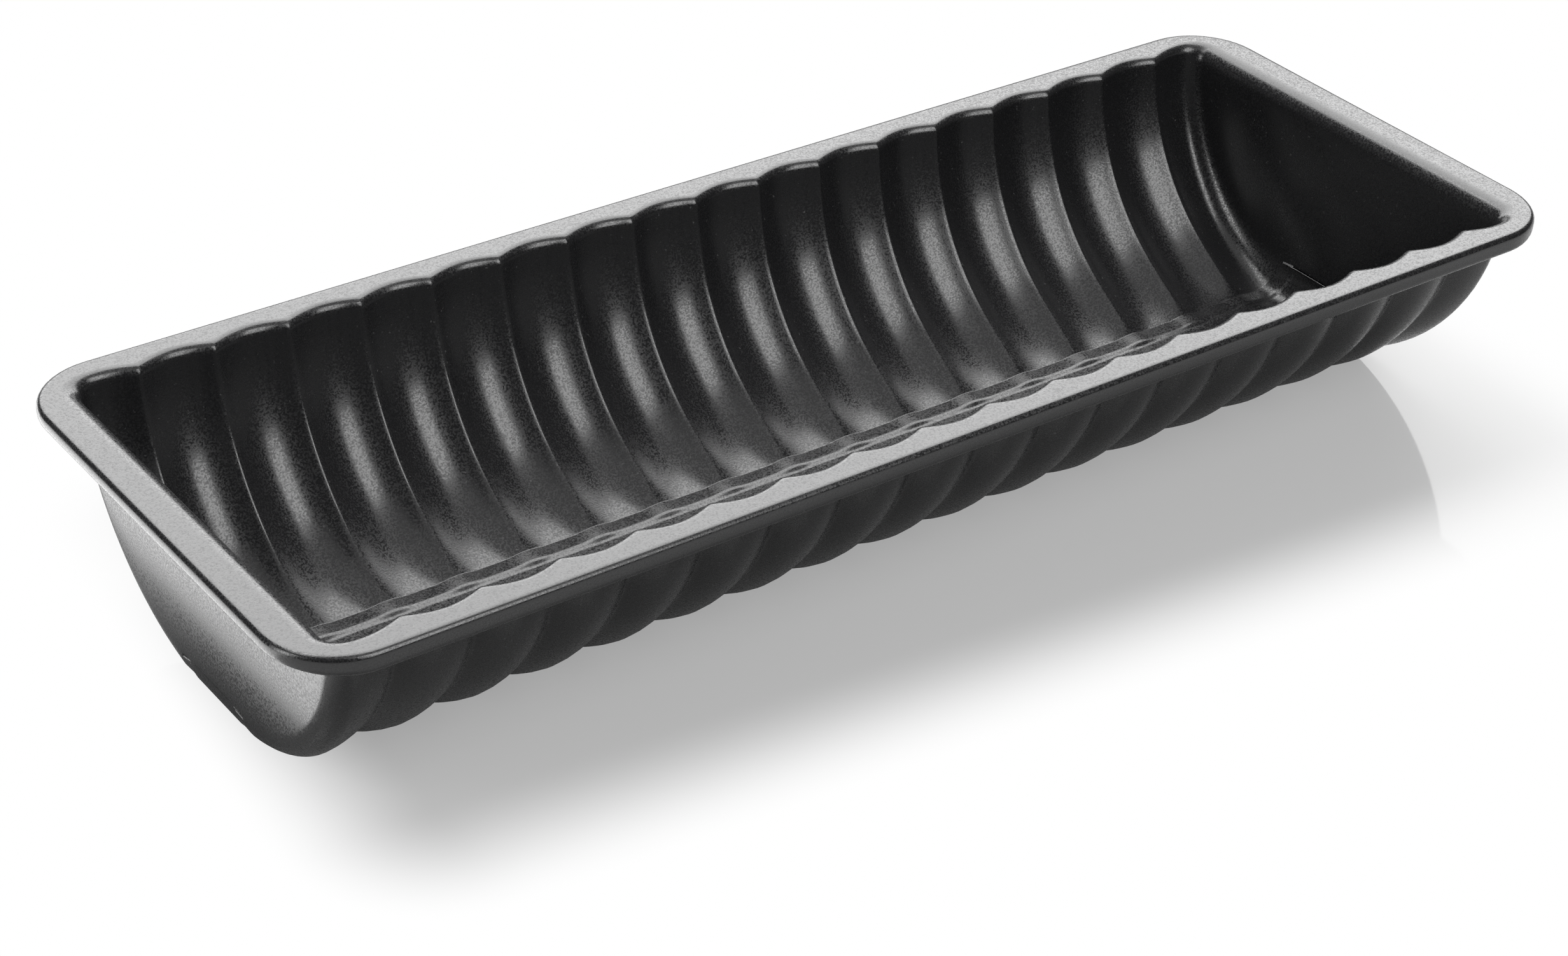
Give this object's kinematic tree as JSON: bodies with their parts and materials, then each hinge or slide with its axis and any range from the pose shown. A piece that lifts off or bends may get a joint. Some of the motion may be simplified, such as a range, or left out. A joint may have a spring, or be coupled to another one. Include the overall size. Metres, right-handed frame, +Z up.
{
  "type": "ridged loaf pan",
  "caption": "Half-round loaf pan with cross flutes, pressed from coated steel sheet, with a flat flange, a rolled wire edge and a flat channel to stand on along the bottom",
  "frame": {"origin": "on the surface the pan stands on, under the middle of the rim", "axes": "+X along the pan, +Y across it, +Z up"},
  "size_m": [0.3, 0.112, 0.047],
  "materials": {
    "nonstick_coated_steel": "satin charcoal non-stick coating",
    "steel_wire": "plain drawn wire"
  },
  "bodies": {
    "root": {"pan_shell": "nonstick_coated_steel", "rim_wire": "steel_wire"}
  },
  "joints": []
}
